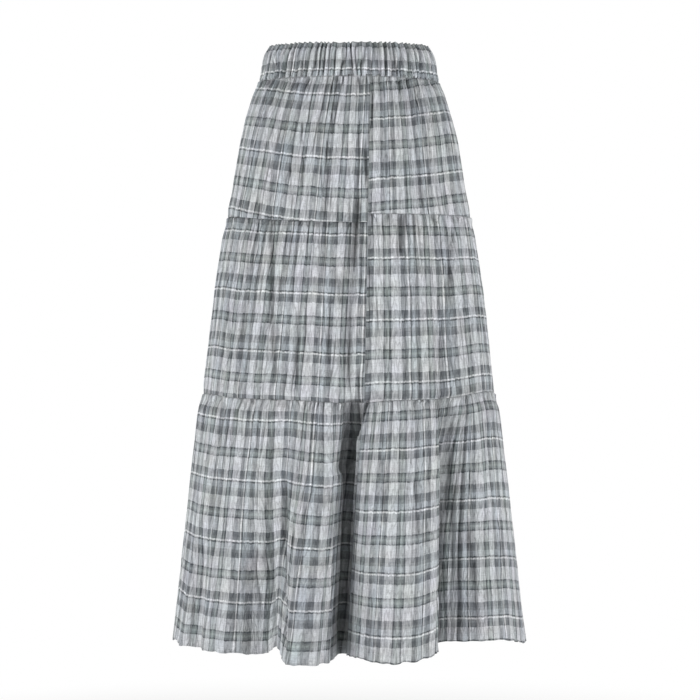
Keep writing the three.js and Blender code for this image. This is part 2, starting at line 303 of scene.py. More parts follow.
# The plaid: how wide one repeat is, and where in it the white line lies
PLAID_REPEAT = 85 * MM
WHITE_LINE = 13.5 * MM

# The two ends of a piece, as turns on from the front seam
TO_RIGHT = (0, HALF_TURN)
TO_LEFT = (HALF_TURN, FULL_TURN)
ALL_ROUND = (HALF_TURN, HALF_TURN + FULL_TURN)

# What the two panels of a tier share.
# top and bottom: the height of the edge, and how much higher it lies in the middle of the front
# tuck: how far the top edge goes up behind the piece above
# lean: how far that edge leans out against the piece above
# hang: how far the rows are parted as the hem is, from 0 to 1
# loose: how much less painted shade the piece gets, which makes it paler all over
# height: how far down the piece runs
# droop: how much lower the white lines lie in the middle of the front than at the sides
# pitch: how far apart the creases of the crinkle are
# gathers: how many are sewn in at the top edge
# gather_high: how many millimetres they stand out there
# fade: how far down they fade
# roll: how many millimetres the cloth stands out just under its seam, or in where it is negative
# cut: the width and height of what shows, as cut
UPPER = dict(
    top=(BAND_BOTTOM, 0), tuck=2.5 * MM, lean=0, hang=0, less_painted_shade=0, height=195.5 * MM, columns=540, rows=38,
    pitch=9 * MM, across=0.66, gathers=20, gather_high=0.6, roll=-1.2, fade=70 * MM, cut=(0.56, 0.196))
MIDDLE = dict(
    bottom=(LOWER_SEAM, -5 * MM), tuck=2 * MM, lean=1.05 * MM, hang=0, less_painted_shade=0, height=257 * MM,
    columns=680, rows=46, droop=0, pitch=9 * MM, across=0.82, gathers=20, gather_high=1.0, roll=0,
    fade=80 * MM, cut=(0.72, 0.257))
LOWER = dict(
    top=(LOWER_SEAM, -5 * MM), bottom=(HEM, 0), tuck=2 * MM, lean=1.05 * MM, height=356 * MM,
    columns=840, rows=56, droop=0, pitch=11 * MM, gathers=22, gather_high=1.1, roll=0,
    fade=90 * MM, cut=(1.02, 0.356))

# Each panel, and the plaid that it shows.
# stripe: how far below the top edge the first white line lies at the sides
# turn: 1 where the plaid runs as woven and -1 where it is upside down
# across: the width of plaid that it takes up, before its gathers and crinkles draw it in
# chart: how far across the panel, from 0 to 1, and where in the upright stripes that is, in millimetres
PANELS = [
    dict(UPPER, name="tier_upper_left", ends=TO_LEFT, bottom=(UPPER_SEAM, -13 * MM),
         stripe=11 * MM, droop=15 * MM, turn=1, seed=3,
         chart=[(0.632, 128), (0.672, 159), (0.783, 222), (0.817, 247), (0.946, 332)]),
    dict(UPPER, name="tier_upper_right", ends=TO_RIGHT, bottom=(UPPER_SEAM, -1 * MM),
         stripe=44 * MM, droop=19 * MM, turn=-1, seed=5,
         chart=[(0.0, 62), (0.096, -8), (0.193, -76), (0.289, -132), (0.386, -177)]),
    dict(MIDDLE, name="tier_middle_left", ends=TO_LEFT, top=(UPPER_SEAM, -13 * MM),
         stripe=19 * MM, turn=-1, seed=7, chart=[(0.56, 0), (0.76, 163), (0.987, 348)]),
    dict(MIDDLE, name="tier_middle_right", ends=TO_RIGHT, top=(UPPER_SEAM, -1 * MM),
         stripe=62 * MM, turn=1, seed=11, chart=[(0.0, 25), (0.127, 110), (0.203, 176), (0.38, 281)]),
    dict(LOWER, name="tier_lower_left", ends=TO_LEFT, hang=0.65, less_painted_shade=0.18,
         stripe=30 * MM, turn=1, across=1.12, seed=13,
         chart=[(0.675, -8.3), (0.768, 76.7), (0.848, 182.8), (0.889, 215.7)]),
    dict(LOWER, name="tier_lower_right", ends=TO_RIGHT, hang=0.9, less_painted_shade=0.12,
         stripe=67 * MM, turn=-1, across=1.20, seed=17,
         chart=[(0.054, 45.7), (0.092, -8.3), (0.157, -72.2), (0.182, -93.3)]),
]
BAND = dict(
    name="waistband", ends=ALL_ROUND, top=(BAND_TOP, -1.5 * MM), bottom=(BAND_BOTTOM, 0), tuck=0, hang=0,
    height=50.5 * MM, columns=960, rows=18, stripe=40 * MM, across=1.55, seed=19, cut=(0.9, 0.052))

# The height that the gathers of a tier fade to
GATHER_LOW = 0.6 * MM

# The band: how many gathers, the length that they are drawn up to, and half the width of a crease there
BAND_GATHERS = 76
BAND_RUN = 677 * MM
BAND_VALLEY = 1.1 * MM

# The crinkle: half the width of a crease, and of the step in the plaid across it
VALLEY = 0.85 * MM
PLAID_STEP = 0.7 * MM

# How high the parts of the surface stand in the tiers and in the band, in millimetres: the pillows between
# the creases, the creases, broad and fine unevenness, and how far the whole is set in
TIER_RELIEF = dict(pillow=1.5, crease=1.5, broad=1.0, fine=0.35, set_in=0.6)
BAND_RELIEF = dict(pillow=4.2, crease=2.6, fine=0.8, set_in=0.8)

# The band's rolled top: how far down it reaches and how far in it goes, and how far the edges of the band
# and its middle are set in
TOP_ROLL_REACH = 9 * MM
TOP_ROLL_IN = 4 * MM
BAND_EDGES_IN = 3.2 * MM
BAND_MIDDLE_OUT = 1.0 * MM

# Where the painted shade and highlights of the crowded creases above the band's seam lie, and how far up and
# down they reach
SEWN_UP = 3 * MM
SEWN_REACH = 4 * MM

# How far a crease swallows the plaid across, as a share of the pitch, and shifts it up or down
SWALLOWS = 0.39
BAND_SWALLOWS = 0.72
SHIFTS = 1.7 * MM
BAND_SHIFTS = 2.4 * MM

# Placed creases: the least that the cloth counts as facing the front, the depth at which one is painted fully
# dark, how soon it and an overlapping fold taper at their ends, and the width of the fold's edge
LEAST_FACING = 0.15
PAINTED_SHADE_DEPTH = 4.5
CREASE_TAPER = 5
LAP_TAPER = 8
LAP_EDGE = 1.2

# How far under a seam its gathers crowd the creases, and how far above one the cloth flattens out
CROWDED = 40 * MM
FLATTENS = 8 * MM
FLATTEST = 0.06

# Puckers under a seam: how far down they are full, how soon they fade after it and how high they are
PUCKERS_FULL = 5 * MM
PUCKERS_FADE = 11 * MM
PUCKERS_HIGH = 5.5 * MM
ROLL_MIDDLE = 6 * MM

# The side seams: how far the cloth to each side turns in and how deep, and how far down a tuck reaches
END_WIDTH = 2.5 * MM
END_DEPTH = 0.9 * MM
TUCK_REACH = 2 * MM

# The uneven hem: how far up and down it goes, and how far up the cloth that is felt
HEM_SWING = 1.6 * MM
HEM_SWING_UP = 14 * MM


def crinkle(piece, run, drop, near_seam):
    """The crinkle of the cloth: upright creases with soft pillows between them, that come and go.

    Returns how far the cloth stands out, the painted shade of its creases from 0 to 1 (lighter on the
    pillows), and how much cloth a crease swallows across and how far it shifts the cloth up or down there.
    What run and drop are divided by is the size of the waves, in metres.
    """
    seed, pitch = piece["seed"], piece["pitch"]
    slow = noise(seed, run / (3.1 * pitch), drop / 0.16)
    quick = noise(seed + 3, run / pitch, drop / 0.04)
    place = run / pitch + (0.7 * slow + 0.25 * quick)
    crease = np.round(place)
    aside = place - crease
    strong = 0.42 + 0.95 * noise(seed + 8, crease * 1.37, drop / 0.045)
    strong = np.clip(strong + 0.5 * near_seam, 0, 1)
    shift = noise(seed + 15, crease * 1.71, drop / 0.08)
    valley = np.exp(-((aside * pitch / VALLEY) ** 2))
    step = 0.5 * np.tanh(aside * pitch / PLAID_STEP) - aside
    pillow = (0.5 - 0.5 * np.cos(2 * np.pi * aside)) * (0.4 + 0.6 * strong)
    broad = noise(seed + 40, run / 0.022, drop / 0.22)
    fine = noise(seed + 60, run / 0.0042, drop / 0.018)
    relief = TIER_RELIEF
    out = MM * (relief["pillow"] * pillow - relief["crease"] * strong * valley
                + relief["broad"] * broad + relief["fine"] * fine - relief["set_in"])
    # The second value is painted shade: dark deep in each crease, a little lighter on the pillows
    return out, strong * valley - 0.1 * pillow, SWALLOWS * pitch * strong * step, SHIFTS * shift * step


def placed_creases(points, normal):
    """How deep each point lies in the placed creases, in metres, and their painted shade on it from -1 to 1.
    """
    x, y, z = points[..., 0], points[..., 1], points[..., 2]
    deep, share = np.zeros_like(x), np.zeros_like(x)
    for side, table in ((-1, FRONT_CREASES + FRONT_SOFT_FOLDS), (1, BACK_CREASES)):
        facing = np.clip(side * normal[..., 1], LEAST_FACING, 1)
        there = side * y > 0
        for start_x, start_z, end_x, end_z, depth, width in table:
            fall = (z / MM - start_z) / (end_z - start_z)
            middle = start_x + (end_x - start_x) * fall
            aside = (x / MM - middle) / facing / width
            along = np.clip(np.minimum(fall, 1 - fall) * CREASE_TAPER + 0.5, 0, 1)
            trough = np.exp(-(aside**2)) * along * there
            deep += depth * MM * trough
            # Painted shade along a trough, and a painted highlight along a fold that stands out
            share += np.clip(depth / PAINTED_SHADE_DEPTH, -0.8, 1) * trough
    facing = np.clip(-normal[..., 1], LEAST_FACING, 1)
    for start_x, start_z, end_x, end_z, depth, width, side in FRONT_LAPS:
        fall = (z / MM - start_z) / (end_z - start_z)
        aside = side * (x / MM - start_x - (end_x - start_x) * fall) / facing
        hidden = np.exp(-((aside / np.where(aside > 0, width, LAP_EDGE)) ** 2))
        hidden = hidden * np.clip(np.minimum(fall, 1 - fall) * LAP_TAPER + 0.6, 0, 1) * (y < 0)
        deep += depth * MM * hidden
        # Painted shade beside an overlapping fold, on the side that it hides
        share += hidden
    return deep, share


def gather(piece, column_share, below):
    """The gathers sewn in at the top edge, which stand out there and fade down the piece."""
    turns = column_share * piece["gathers"]
    uneven = 0.5 + 0.5 * (0.5 + 0.5 * np.sin(np.floor(turns) * 2.4))
    high = GATHER_LOW + (piece["gather_high"] * MM - GATHER_LOW) * np.exp(-below / piece["fade"])
    return high * uneven * (1 - np.cos(2 * np.pi * turns))


def seam_puckers(piece, run, below):
    """Small tight puckers just under a gathering seam.

    Returns how far they stand out, and the painted shade between them, lighter on their ridges.
    """
    sway = 3.5 * MM * noise(piece["seed"] + 75, run / 0.013, below / 0.009)
    ridge = np.abs(noise(piece["seed"] + 70, (run + sway) / 0.0068, below / 0.03))
    fade = np.exp(-np.clip(below - PUCKERS_FULL, 0, None) / PUCKERS_FADE)
    roll = piece["roll"] * MM * np.exp(-((below - ROLL_MIDDLE) / ROLL_MIDDLE) ** 2)
    # Painted shade in the valleys between the puckers, and a painted highlight on their ridges
    between = (np.exp(-((ridge / 0.22) ** 2)) - 1.6 * ridge) * fade
    return PUCKERS_HIGH * (ridge - 0.5) * fade + roll, between


def panel_surface(piece):
    """The outside of a tier's panel, its pattern coordinates and the painted shade of its creases, puckers,
    tuck and ends.
    """
    points, angles, heights, shares, lengths = cloth_grid(piece)
    column_share = np.linspace(0, 1, piece["columns"] + 1)[None, :].repeat(len(shares), 0)
    below = edge_height(*piece["top"], angles) - heights
    above = heights - edge_height(*piece["bottom"], angles)
    normal = grid_normals(points, False)
    middle_run = lengths[len(lengths) // 2] * column_share
    near_seam = np.exp(-np.clip(below, 0, None) / CROWDED)
    out, crease, swallowed, shifted = crinkle(piece, middle_run, below, near_seam)
    pucker, between = seam_puckers(piece, middle_run, below)
    deep, placed_shade = placed_creases(points, normal)
    stand = gather(piece, column_share, below) + out + pucker
    # Painted shade from the crinkle, the puckers and the placed creases, eased a little over the whole piece
    crease = np.clip(np.maximum(crease, between) + placed_shade - piece["less_painted_shade"], -0.6, 1.1)
    if piece["bottom"][0] != HEM:
        stand = stand * np.clip((above / FLATTENS) ** 2, FLATTEST, 1)
    from_end = np.minimum(column_share, 1 - column_share) * lengths[:, None]
    at_end = np.exp(-((from_end / END_WIDTH) ** 2))
    stand = CLOTH_STAND + stand * (1 - at_end) - END_DEPTH * at_end
    tucked = np.clip(1 - below / TUCK_REACH, 0, 1)
    stand = stand + (TUCK_STAND - stand) * tucked - deep * (1 - at_end)
    stand = stand + piece["lean"] * np.clip(-below / piece["tuck"], 0, 1) * (1 - at_end)
    # Painted shade where the tucked top lies under the piece above and where the cloth turns in at the side
    # seams
    crease = np.maximum(crease, np.maximum(tucked, 0.7 * at_end))
    outside = points + normal * stand[..., None]
    if piece["bottom"][0] == HEM:
        level = np.zeros_like(above)
        wide = noise(piece["seed"] + 90, middle_run / 0.014, level)
        narrow = noise(piece["seed"] + 91, middle_run / 0.006, level)
        outside[..., 2] += HEM_SWING * (wide + 0.5 * narrow) * np.exp(-above / HEM_SWING_UP)
    ahead = np.clip(np.cos(np.radians(angles)), 0, None)
    down = shares[:, None] * piece["height"] - piece["stripe"] - piece["droop"] * ahead**2
    across = stripe_place(piece, column_share)
    return outside, across + swallowed, piece["turn"] * down + WHITE_LINE + shifted, crease


def stripe_place(piece, column_share):
    """Where in the plaid's upright stripes each point lies, from the places charted for the piece."""
    chart = np.array(piece["chart"])
    share, place = chart[:, 0], chart[:, 1] * MM
    slope = np.sign(place[-1] - place[0]) * piece["across"]
    before = place[0] + slope * (column_share - share[0])
    after = place[-1] + slope * (column_share - share[-1])
    inside = np.interp(column_share, share, place)
    return np.where(column_share < share[0], before, np.where(column_share > share[-1], after, inside))


def band_surface(piece):
    """The outside of the waistband: cloth drawn up on its elastic in close upright gathers."""
    points, angles, heights, shares, _ = cloth_grid(piece)
    column_share = np.linspace(0, 1, piece["columns"] + 1)[None, :].repeat(len(shares), 0)
    turn = 2 * np.pi * column_share
    below = edge_height(*piece["top"], angles) - heights
    ring_x, ring_y = np.cos(turn), np.sin(turn)
    sway = 0.8 * noise(piece["seed"] + 5, ring_x * 8 + 20, below / 0.035 + ring_y * 8 + 20)
    place = BAND_GATHERS * column_share + sway
    fold = np.round(place)
    aside = place - fold
    fold = np.mod(fold, BAND_GATHERS)
    strong = np.clip(0.7 + 0.5 * noise(piece["seed"] + 9, fold * 1.37, below / 0.03), 0, 1)
    pitch = BAND_RUN / BAND_GATHERS
    valley = np.exp(-((aside * pitch / BAND_VALLEY) ** 2))
    step = 0.5 * np.tanh(aside * pitch / PLAID_STEP) - aside
    small = noise(piece["seed"] + 13, ring_x * 28 + 60, ring_y * 28 + 60 + below / 0.03)
    rolled = np.sin(np.pi * np.clip(shares, 0, 1))[:, None] ** 0.4
    top_roll = np.exp(-((below / TOP_ROLL_REACH) ** 2))
    frill = noise(piece["seed"] + 21, ring_x * 22 + 40, ring_y * 22 + 40)
    pillow = (0.5 - 0.5 * np.cos(2 * np.pi * aside)) * (0.4 + 0.6 * strong)
    relief = BAND_RELIEF
    out = MM * (relief["pillow"] * pillow - relief["crease"] * strong * valley
                + relief["fine"] * small - relief["set_in"])
    stand = BAND_STAND - BAND_EDGES_IN + BAND_MIDDLE_OUT * rolled + out * (0.75 + 0.25 * rolled)
    stand = stand - TOP_ROLL_IN * top_roll
    normal = grid_normals(points, True)
    outside = points + normal * stand[..., None]
    outside[..., 2] += MM * top_roll * (1.6 + 0.9 * frill + 1.2 * (pillow - 0.5))
    down = shares[:, None] * piece["height"] - piece["stripe"] + WHITE_LINE
    shift = BAND_SHIFTS * noise(piece["seed"] + 15, fold * 1.71, below / 0.05) * step
    across = column_share * piece["across"] + BAND_SWALLOWS * pitch * strong * step
    from_bottom = heights - edge_height(*piece["bottom"], angles)
    ridge = np.abs(noise(piece["seed"] + 31, ring_x * 40 + 90, ring_y * 40 + 90 + below / 0.02))
    sewn = np.exp(-((from_bottom - SEWN_UP) / SEWN_REACH) ** 2)
    # Painted shade deep in the gathers and a painted highlight on their pillows, with painted shade and
    # highlights on the crowded puckers above the seam
    crease = 0.8 * strong * valley - 0.2 * pillow + sewn * (np.exp(-((ridge / 0.25) ** 2)) - 0.6 * ridge)
    return outside, across, down + shift, np.clip(crease, -0.5, 1)


def mesh_from_grid(name, points, across, down, crease, ring):
    """A mesh of a grid of points with its pattern coordinates as a UV map and the painted shade of its
    creases as an attribute.
    """
    rows, columns = points.shape[:2]
    used = columns - 1 if ring else columns
    index = np.arange(rows * used).reshape(rows, used)
    left = index[:-1, :] if ring else index[:-1, :-1]
    right = np.roll(index, -1, axis=1)[:-1, :] if ring else index[:-1, 1:]
    below_left = index[1:, :] if ring else index[1:, :-1]
    below_right = np.roll(index, -1, axis=1)[1:, :] if ring else index[1:, 1:]
    faces = np.stack([left, below_left, below_right, right], -1).reshape(-1, 4)
    mesh = bpy.data.meshes.new(name)
    mesh.from_pydata(points[:, :used].reshape(-1, 3).tolist(), [], faces.tolist())
    grid_u = [across[:-1, :-1], across[1:, :-1], across[1:, 1:], across[:-1, 1:]]
    grid_v = [down[:-1, :-1], down[1:, :-1], down[1:, 1:], down[:-1, 1:]]
    corners = np.stack([np.stack(grid_u, -1), np.stack(grid_v, -1)], -1).reshape(-1, 2)
    mesh.uv_layers.new(name="plaid").data.foreach_set("uv", corners.astype(np.float32).ravel())
    # The crease attribute holds painted shade, lighter where it is negative
    depth = mesh.attributes.new("crease", "FLOAT", "POINT")
    depth.data.foreach_set("value", crease[:, :used].astype(np.float32).ravel())
    mesh.polygons.foreach_set("use_smooth", np.ones(len(mesh.polygons), dtype=bool))
    mesh.update()
    return mesh


def add_piece(mesh, material):
    """An object for a mesh, in the scene, with its material."""
    piece = bpy.data.objects.new(mesh.name, mesh)
    bpy.context.scene.collection.objects.link(piece)
    mesh.materials.append(material)
    return piece


def thicken(piece, thick):
    """Gives a cloth piece its thickness, inwards from its outside."""
    solid = piece.modifiers.new("thickness", "SOLIDIFY")
    solid.thickness = thick
    solid.offset = -1
    solid.use_rim = True
    solid.use_even_offset = False


# Materials
def linear(hex_colour):
    """An sRGB hex colour as the linear values that a shader takes."""
    parts = [int(hex_colour[i:i + 2], 16) / 255 for i in (1, 3, 5)]
    return [p / 12.92 if p <= 0.04045 else ((p + 0.055) / 1.055) ** 2.4 for p in parts] + [1]


def node(tree, kind, links=None, **settings):
    """Adds a node with its settings; links gives each input a value or another node's output."""
    made = tree.nodes.new(kind)
    for key, value in settings.items():
        setattr(made, key, value)
    for key, value in (links or {}).items():
        if isinstance(value, bpy.types.NodeSocket):
            tree.links.new(value, made.inputs[key])
        else:
            made.inputs[key].default_value = value
    return made


# The colours of the yarns
LIGHT = "#ced1d4"
DARK = "#666a6e"
SOFT_DARK = "#82878a"
THIN_DARK = "#3c4145"
MID_DARK = "#82898a"
MID_GREEN = "#a3abaa"
PALE_BLUE = "#b3babf"
WHITE = "#f4f6f8"

# The yarn order of the plaid over one repeat: width in millimetres, colour, share of the cover it takes
YARNS = [
    (7.2, DARK, 0.5), (4.4, SOFT_DARK, 0.5), (2.5, WHITE, None), (2.4, THIN_DARK, 0.54), (8, PALE_BLUE, 0.5),
    (4.4, SOFT_DARK, 0.5), (7.2, DARK, 0.5), (17, LIGHT, 0.5), (2.3, THIN_DARK, 0.56), (2.8, MID_DARK, 0.5),
    (3.4, MID_GREEN, 0.5), (2.8, MID_DARK, 0.5), (2.3, THIN_DARK, 0.56), (18.3, LIGHT, 0.5),
]


def yarn_ramp(tree, place, blur, white_cover):
    """A colour ramp over one repeat of the plaid, with edges blurred by so many millimetres.

    Its alpha is the share of the cover that the yarn takes.
    """
    ramp = node(tree, "ShaderNodeValToRGB", {"Fac": place})
    ramp.color_ramp.interpolation = "LINEAR"
    whole = sum(width for width, _, _ in YARNS)
    soft = blur / whole
    stops = []
    start = 0.0
    for width, colour, cover in YARNS:
        end = start + width / whole
        share = white_cover if cover is None else cover
        stops += [(start + soft, colour, share), (end - soft, colour, share)]
        start = end
    elements = ramp.color_ramp.elements
    while len(elements) < len(stops):
        elements.new(0.5)
    for element, (position, _, _) in zip(elements, stops):
        element.position = position
    for element, (_, colour, cover) in zip(elements, stops):
        element.color = linear(colour)[:3] + [cover]
    return ramp


# How the cotton takes the light
COTTON_FINISH = {
    "Roughness": 0.93, "IOR": 1.5, "Specular IOR Level": 0.2, "Sheen Weight": 0.12, "Sheen Roughness": 0.5,
}

# The blur of the plaid's edges across and down, in millimetres, and how far its white line covers the cloth
WARP_BLUR = 0.5
WEFT_BLUR = 0.4
WARP_WHITE = 0.25
WEFT_WHITE = 0.62

# Uneven streaks over the cloth: how wide and how long in metres, how much finer detail they have, their
# seed, the swing that they give and its least. drift and jog bend the warp, wave and jitter the weft,
# lift says which of the two shows, and yarns, picks and grain are lighter and darker threads.
STREAKS = {
    "drift": (0.035, 0.25, 0.0, 3.1, 0.007, -0.0035),
    "jog": (0.011, 0.06, 1.0, 7.7, 0.0032, -0.0016),
    "wave": (0.045, 0.12, 0.0, 11.3, 0.003, -0.0015),
    "jitter": (0.0040, 0.02, 2.0, 17.9, 0.0026, -0.0013),
    "lift": (0.0028, 0.024, 2.0, 23.3, 1.15, -0.62),
    "yarns": (0.0027, 0.022, 2.0, 41.0, 0.36, 0.81),
    "picks": (0.016, 0.0019, 1.0, 43.0, 0.36, 0.82),
    "grain": (0.0019, 0.0013, 1.0, 47.0, 0.5, 0.75),
}
STREAK_ROUGHNESS = 0.55
LEAST_WEFT = 0.1
MOST_WEFT = 0.9

# The finest creases: their streaks, how narrow they are, the painted shade along their lines and how they
# dent the cloth
FINE_CREASES = (0.0058, 0.026, 1.5, 31.0)
FINE_NARROWNESS = 13.0
FINE_PAINTED_SHADE = (0.27, 0.745)
FINE_DENT = {"Distance": 0.0008, "Strength": 0.8}

# The painted shade deep in a crease, how much darker it makes the cloth and lighter where the crease value is
# negative, and how the weave dents it
PAINTED_CREASE_SHADE = (-0.45, 0.98)
WEAVE_STREAKS = (0.0011, 0.0011, 0.0, 37.0)
WEAVE_DENT = {"Distance": 0.0003, "Strength": 0.5}

# The uneven tint of the dye: how many patches a metre across and down, how far it swings, and its least
TINT_PATCHES = (22, 26, 1)
TINT_SWING = (0.09, 0.07, 0.13)
TINT_LEAST = (0.951, 0.963, 0.940)


def crinkled_cotton():
    """Woven cotton with a crinkled finish, in a yarn-dyed plaid: matt, soft and slightly slubby."""
    material = bpy.data.materials.new("crinkled_woven_cotton")
    material.use_nodes = True
    tree = material.node_tree
    shader = tree.nodes["Principled BSDF"]
    uv = node(tree, "ShaderNodeUVMap", uv_map="plaid")
    parts = node(tree, "ShaderNodeSeparateXYZ", {"Vector": uv.outputs["UV"]})
    u, v = parts.outputs["X"], parts.outputs["Y"]
    crease = node(tree, "ShaderNodeAttribute", attribute_name="crease").outputs["Fac"]

    def math_node(operation, first, second=0.0, third=0.0):
        """The result of one step of arithmetic."""
        return node(tree, "ShaderNodeMath", {0: first, 1: second, 2: third}, operation=operation).outputs[0]

    def scaled(value, by, plus):
        """A value times one number, plus another."""
        return math_node("MULTIPLY_ADD", value, by, plus)

    def streaks(across, down, detail, seed):
        """Uneven streaks over the plaid from 0 to 1, about so many metres wide and long."""
        place = node(tree, "ShaderNodeCombineXYZ", {
            "X": math_node("DIVIDE", u, across), "Y": math_node("DIVIDE", v, down), "Z": seed})
        return node(tree, "ShaderNodeTexNoise", {
            "Vector": place.outputs[0], "Scale": 1.0, "Detail": detail,
            "Roughness": STREAK_ROUGHNESS}).outputs["Fac"]

    def uneven(name):
        """The streaks of that name, with the swing that they give."""
        across, down, detail, seed, swing, least = STREAKS[name]
        return scaled(streaks(across, down, detail, seed), swing, least)

    drift = uneven("drift")
    jog = uneven("jog")
    warp_place = math_node("ADD", math_node("ADD", u, drift), jog)
    wave = uneven("wave")
    jitter = uneven("jitter")
    weft_place = math_node("ADD", math_node("ADD", v, wave), jitter)

    def repeat(place):
        """How far through one repeat of the plaid a place is, from 0 to 1."""
        return math_node("FRACT", math_node("DIVIDE", place, PLAID_REPEAT))

    warp = yarn_ramp(tree, repeat(warp_place), WARP_BLUR, WARP_WHITE)
    weft = yarn_ramp(tree, repeat(weft_place), WEFT_BLUR, WEFT_WHITE)
    both = math_node("ADD", warp.outputs["Alpha"], weft.outputs["Alpha"])
    weft_share = math_node("DIVIDE", weft.outputs["Alpha"], both)
    lift = uneven("lift")
    weft_share = math_node("MAXIMUM", math_node("ADD", weft_share, lift), LEAST_WEFT)
    weft_share = math_node("MINIMUM", weft_share, MOST_WEFT)
    woven = node(tree, "ShaderNodeMix", {0: weft_share, 6: warp.outputs["Color"], 7: weft.outputs["Color"]},
                 data_type="RGBA")

    away = math_node("ABSOLUTE", math_node("SUBTRACT", streaks(*FINE_CREASES), 0.5))
    fine = math_node("MINIMUM", math_node("MULTIPLY", away, FINE_NARROWNESS), 1.0)
    yarns = uneven("yarns")
    picks = uneven("picks")
    tint_place = node(tree, "ShaderNodeVectorMath", {
        0: uv.outputs["UV"], 1: TINT_PATCHES}, operation="MULTIPLY")
    tint = node(tree, "ShaderNodeTexNoise", {"Vector": tint_place.outputs[0], "Scale": 1.0, "Detail": 1.0})
    faded = node(tree, "ShaderNodeVectorMath", {
        0: tint.outputs["Color"], 1: TINT_SWING, 2: TINT_LEAST}, operation="MULTIPLY_ADD")
    dyed = node(tree, "ShaderNodeVectorMath", {
        0: woven.outputs[2], 1: faded.outputs[0]}, operation="MULTIPLY")
    # Painted shade: the crease attribute darkens the colour deep in creases, tucks and seam ends and lightens
    # it on pillows and ridges
    painted_crease_shade = scaled(crease, *PAINTED_CREASE_SHADE)
    grain = uneven("grain")
    # Painted shade along the fine creases, times the lighter and darker threads
    lines = math_node("MULTIPLY", scaled(fine, *FINE_PAINTED_SHADE), math_node("MULTIPLY", yarns, picks))
    lines = math_node("MULTIPLY", lines, grain)
    # The painted shade of the creases, times the fine creases' painted shade and the lighter and darker
    # threads
    shade = math_node("MULTIPLY", painted_crease_shade, lines)
    shaded = node(tree, "ShaderNodeVectorMath", {0: dyed.outputs[0]}, operation="SCALE")
    tree.links.new(shade, shaded.inputs["Scale"])
    tree.links.new(shaded.outputs[0], shader.inputs["Base Color"])

    weave = streaks(*WEAVE_STREAKS)
    bump_fine = node(tree, "ShaderNodeBump", {"Height": fine, **FINE_DENT})
    bump = node(tree, "ShaderNodeBump", {"Height": weave, "Normal": bump_fine.outputs[0], **WEAVE_DENT})
    tree.links.new(bump.outputs[0], shader.inputs["Normal"])
    for name, value in COTTON_FINISH.items():
        shader.inputs[name].default_value = value
    return material


# The thread of the seams
THREAD_GREY = "#aab0b3"
THREAD_ROUGHNESS = 0.7


def sewing_thread():
    """Matt grey thread."""
    material = bpy.data.materials.new("sewing_thread")
    material.use_nodes = True
    shader = material.node_tree.nodes["Principled BSDF"]
    shader.inputs["Base Color"].default_value = linear(THREAD_GREY)
    shader.inputs["Roughness"].default_value = THREAD_ROUGHNESS
    return material


# The stitches: their size, how far above the lower edge of the band and of the hem their rows lie, how
# many corners a thread has and how proud of the cloth it lies
STITCH_SIZES = {"Stitch step": 3.4 * MM, "Stitch length": 2.4 * MM, "Stitch half width": 0.28 * MM}
CASING_STITCHES_UP = 4 * MM
HEM_STITCHES_UP = 9 * MM
STITCH_CORNERS = 5
PROUD = 0.05 * MM


def stitch_nodes(thread):
    """Geometry nodes that lay a row of short threads along a line, and the sizes for their inputs."""
    tree = bpy.data.node_groups.new("stitch_row", "GeometryNodeTree")
    tree.interface.new_socket("Line", in_out="INPUT", socket_type="NodeSocketGeometry")
    sizes = {}
    for name, size in STITCH_SIZES.items():
        socket = tree.interface.new_socket(name, in_out="INPUT", socket_type="NodeSocketFloat")
        sizes[socket.identifier] = size
    tree.interface.new_socket("Stitches", in_out="OUTPUT", socket_type="NodeSocketGeometry")
    given = node(tree, "NodeGroupInput")
    curve = node(tree, "GeometryNodeMeshToCurve", {"Mesh": given.outputs["Line"]})
    places = node(tree, "GeometryNodeCurveToPoints", {
        "Curve": curve.outputs[0], "Length": given.outputs["Stitch step"]}, mode="LENGTH")
    stitch = node(tree, "GeometryNodeMeshCylinder", {
        "Vertices": STITCH_CORNERS, "Radius": given.outputs["Stitch half width"],
        "Depth": given.outputs["Stitch length"]})
    laid = node(tree, "GeometryNodeInstanceOnPoints", {
        "Points": places.outputs["Points"], "Instance": stitch.outputs["Mesh"],
        "Rotation": places.outputs["Rotation"]})
    real = node(tree, "GeometryNodeRealizeInstances", {"Geometry": laid.outputs[0]})
    coloured = node(tree, "GeometryNodeSetMaterial", {"Geometry": real.outputs[0], "Material": thread})
    node(tree, "NodeGroupOutput", {"Stitches": coloured.outputs[0]})
    return tree, sizes


def add_stitches(name, line, closed, tree, sizes, thread):
    """A row of stitches along a line of points, as a plain mesh."""
    count = len(line)
    edges = [(i, (i + 1) % count) for i in range(count if closed else count - 1)]
    mesh = bpy.data.meshes.new(name + "_line")
    mesh.from_pydata(line.tolist(), edges, [])
    guide = bpy.data.objects.new(name + "_line", mesh)
    bpy.context.scene.collection.objects.link(guide)
    rows = guide.modifiers.new("stitches", "NODES")
    rows.node_group = tree
    for identifier, size in sizes.items():
        rows[identifier] = size
    shaped = guide.evaluated_get(bpy.context.evaluated_depsgraph_get())
    stitched = bpy.data.meshes.new_from_object(shaped)
    guide.modifiers.remove(rows)
    bpy.data.objects.remove(guide)
    stitched.name = name
    row = bpy.data.objects.new(name, stitched)
    bpy.context.scene.collection.objects.link(row)
    if not stitched.materials:
        stitched.materials.append(thread)
    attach(row, "root")
    return row


def line_up_from_bottom(outside, height, up):
    """The line across a cloth surface at a height above its lower edge, a little proud of it."""
    share = up / height * (outside.shape[0] - 1)
    row = int(share)
    line = outside[-1 - row] + (outside[-2 - row] - outside[-1 - row]) * (share - row)
    return line + grid_normals(outside, False)[-1 - row] * PROUD


def finish_piece(piece, solid):
    """Attaches a cloth piece to the root and hides the solid that it stands for."""
    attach(piece, "root")
    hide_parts(solid)


